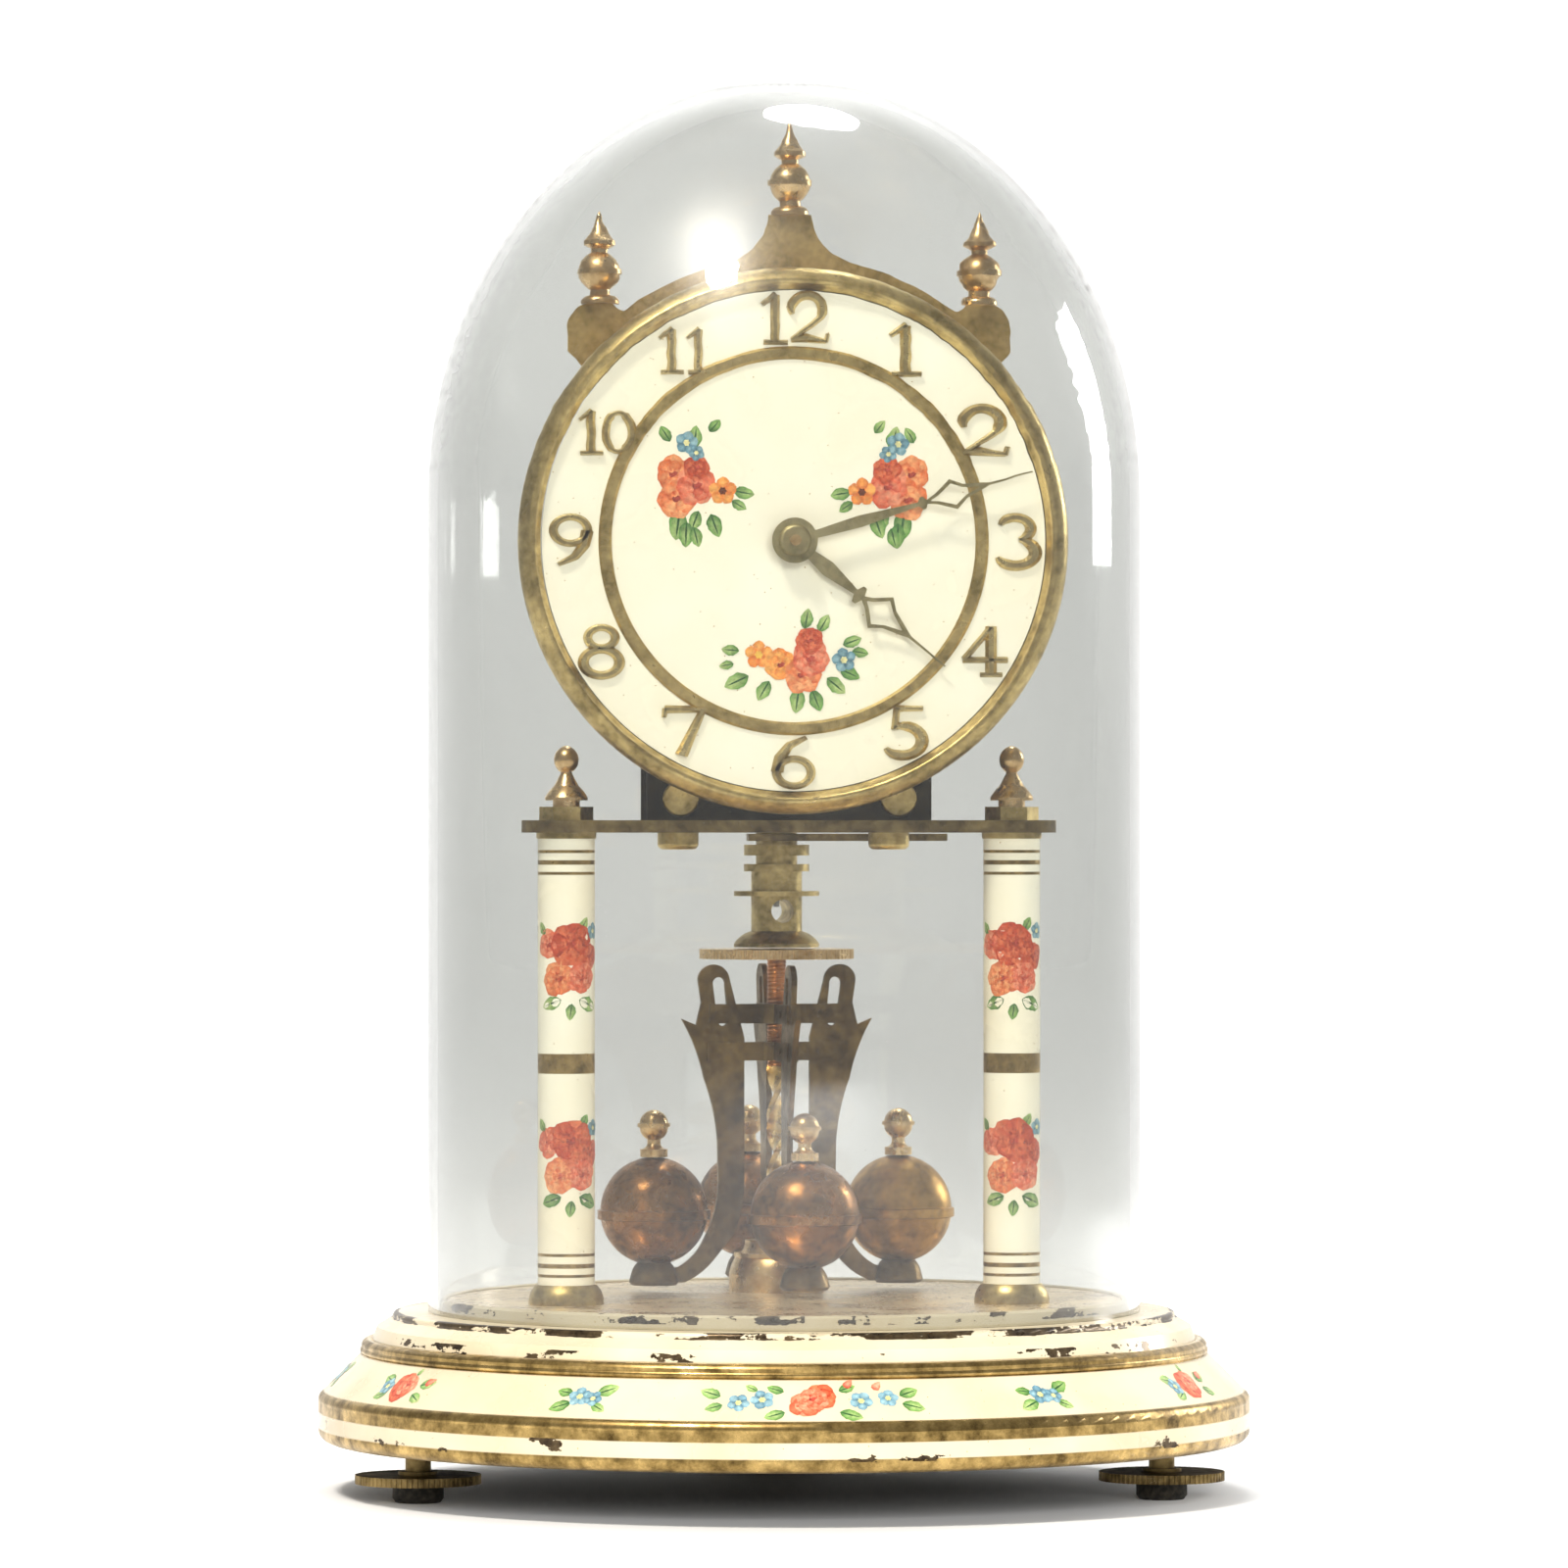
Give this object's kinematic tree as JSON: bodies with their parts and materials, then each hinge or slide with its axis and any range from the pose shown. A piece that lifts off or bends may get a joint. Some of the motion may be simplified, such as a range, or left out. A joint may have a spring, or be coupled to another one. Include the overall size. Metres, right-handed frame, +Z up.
{
  "type": "anniversary clock",
  "caption": "Torsion pendulum clock with a floral cream dial, enamelled base and pillars, a turning pendulum of balls and a lift-off glass dome.",
  "frame": {"origin": "centre of the footprint on the surface it stands on", "axes": "+Z up, the dial faces -Y, +X to the right seen from the front"},
  "size_m": [0.19, 0.19, 0.288],
  "materials": {
    "enamel": "stoved cream enamel, glossy, chipped at the edges",
    "painted_steel": "dark painted steel",
    "floor_brass": "polished brass with a grey film",
    "rubber": "moulded rubber",
    "glass": "blown clear glass",
    "copper_bronze": "brown lacquered brass",
    "steel": "turned steel",
    "hand_brass": "antique brass",
    "dark_brass": "tarnished brass",
    "brass": "polished brass, lightly tarnished"
  },
  "bodies": {
    "stand": {"back_plate": "dark_brass", "base_plate": "painted_steel", "base_shell": "enamel", "bezel": "dark_brass", "chapter_ring": "dark_brass", "crown_finials": "brass", "crown_plate": "dark_brass", "dial": "enamel", "floor_disc": "floor_brass", "front_plate": "dark_brass", "left_pillar": "enamel", "numerals": "dark_brass", "pendulum_cup": "brass", "pillar_ferrules": "dark_brass", "pillar_finials": "brass", "plate_posts": "brass", "plate_screws": "brass", "platform": "dark_brass", "platform_fasteners": "dark_brass", "right_pillar": "enamel", "suspension_block": "brass", "suspension_bracket": "brass", "suspension_spring": "steel"},
    "glass_dome_body": {"glass_dome": "glass"},
    "pendulum": {"pendulum_head": "dark_brass", "pendulum_spindle": "copper_bronze", "arm_straps": "dark_brass", "ball_finials": "brass", "pendulum_arm_1": "brass", "pendulum_arm_2": "brass", "pendulum_arm_3": "brass", "pendulum_arm_4": "brass", "pendulum_ball_1": "copper_bronze", "pendulum_ball_2": "copper_bronze", "pendulum_ball_3": "copper_bronze", "pendulum_ball_4": "copper_bronze"},
    "regulator": {"regulator_disc": "dark_brass"},
    "fork": {"suspension_fork": "brass"},
    "anchor_body": {"anchor": "steel"},
    "minute_train": {"centre_arbor": "brass", "cannon_pinion": "brass", "minute_hand": "hand_brass"},
    "hour_train": {"hour_wheel": "brass", "hour_hand": "hand_brass"},
    "minute_wheel_body": {"minute_wheel": "brass"},
    "third_train": {"third_wheel": "brass"},
    "escape_train": {"escape_wheel": "brass"},
    "second_train": {"second_wheel": "brass"},
    "intermediate_train": {"intermediate_wheel": "brass"},
    "barrel_body": {"spring_barrel": "brass", "mainspring": "steel"},
    "winding": {"winding_arbor": "steel"},
    "click_body": {"click": "steel"},
    "lock": {"lock_lever": "brass"},
    "left_foot": {"left_levelling_foot": "brass", "left_foot_tip": "rubber"},
    "right_foot": {"right_levelling_foot": "brass", "right_foot_tip": "rubber"},
    "rear_foot": {"rear_levelling_foot": "brass", "rear_foot_tip": "rubber"}
  },
  "joints": [
    {"name": "dome_lift", "type": "slide", "parent": "stand", "child": "glass_dome_body", "axis": [0, 0, 1], "range_m": [0, 0.26]},
    {"name": "pendulum_swing", "type": "hinge", "parent": "stand", "child": "pendulum", "pos_m": [0, 0.027, 0.1], "axis": [0, 0, 1], "range_deg": [-150, 150]},
    {"name": "regulator_turn", "type": "hinge", "parent": "pendulum", "child": "regulator", "pos_m": [0, 0.027, 0.109], "axis": [0, 0, 1], "continuous": true},
    {"name": "fork_twist", "type": "hinge", "parent": "stand", "child": "fork", "pos_m": [0, 0.027, 0.226], "axis": [0, 0, 1], "range_deg": [-8, 8]},
    {"name": "anchor_rock", "type": "hinge", "parent": "stand", "child": "anchor_body", "pos_m": [0, 0, 0.2153], "axis": [0, 1, 0], "range_deg": [-5, 5]},
    {"name": "minute_hand_turn", "type": "hinge", "parent": "stand", "child": "minute_train", "pos_m": [0, 0, 0.1929], "axis": [0, 1, 0], "continuous": true},
    {"name": "hour_hand_turn", "type": "hinge", "parent": "stand", "child": "hour_train", "pos_m": [0, 0, 0.1929], "axis": [0, 1, 0], "continuous": true},
    {"name": "minute_wheel_turn", "type": "hinge", "parent": "stand", "child": "minute_wheel_body", "pos_m": [0, 0, 0.1809], "axis": [0, 1, 0], "continuous": true},
    {"name": "third_wheel_turn", "type": "hinge", "parent": "stand", "child": "third_train", "pos_m": [-0.00894, 0, 0.19998], "axis": [0, 1, 0], "continuous": true},
    {"name": "escape_wheel_turn", "type": "hinge", "parent": "stand", "child": "escape_train", "pos_m": [0, 0, 0.2049], "axis": [0, 1, 0], "continuous": true},
    {"name": "second_wheel_turn", "type": "hinge", "parent": "stand", "child": "second_train", "pos_m": [0.01485, 0, 0.19003], "axis": [0, 1, 0], "continuous": true},
    {"name": "intermediate_wheel_turn", "type": "hinge", "parent": "stand", "child": "intermediate_train", "pos_m": [0.00895, 0, 0.17611], "axis": [0, 1, 0], "continuous": true},
    {"name": "barrel_turn", "type": "hinge", "parent": "stand", "child": "barrel_body", "pos_m": [-0.0076, 0, 0.1606], "axis": [0, 1, 0], "continuous": true},
    {"name": "winding_turn", "type": "hinge", "parent": "stand", "child": "winding", "pos_m": [-0.0076, 0, 0.1606], "axis": [0, 1, 0], "continuous": true},
    {"name": "click_lift", "type": "hinge", "parent": "stand", "child": "click_body", "pos_m": [0.0044, 0, 0.166], "axis": [0, 1, 0], "range_deg": [-12, 0], "stiffness_Nm_per_rad": 0.002, "springref_deg": 5.73},
    {"name": "lock_lever_swing", "type": "hinge", "parent": "stand", "child": "lock", "pos_m": [0.024, 0.027, 0.133], "axis": [0, 0, 1], "range_deg": [0, 40]},
    {"name": "left_foot_turn", "type": "hinge", "parent": "stand", "child": "left_foot", "pos_m": [-0.075, -0.024, 0.004], "axis": [0, 0, 1], "continuous": true},
    {"name": "right_foot_turn", "type": "hinge", "parent": "stand", "child": "right_foot", "pos_m": [0.075, -0.024, 0.004], "axis": [0, 0, 1], "continuous": true},
    {"name": "rear_foot_turn", "type": "hinge", "parent": "stand", "child": "rear_foot", "pos_m": [0, 0.079, 0.004], "axis": [0, 0, 1], "continuous": true}
  ],
  "couplings": [
    {"joint": "fork_twist", "follows": "pendulum_swing", "ratio": 0.045},
    {"joint": "anchor_rock", "follows": "pendulum_swing", "ratio": 0.0296},
    {"joint": "hour_hand_turn", "follows": "minute_hand_turn", "ratio": 0.083333},
    {"joint": "minute_wheel_turn", "follows": "minute_hand_turn", "ratio": -0.33333},
    {"joint": "third_wheel_turn", "follows": "minute_hand_turn", "ratio": -4},
    {"joint": "escape_wheel_turn", "follows": "minute_hand_turn", "ratio": 12},
    {"joint": "second_wheel_turn", "follows": "minute_hand_turn", "ratio": -0.125},
    {"joint": "intermediate_wheel_turn", "follows": "minute_hand_turn", "ratio": 0.015625},
    {"joint": "barrel_turn", "follows": "minute_hand_turn", "ratio": -0.0019531}
  ]
}
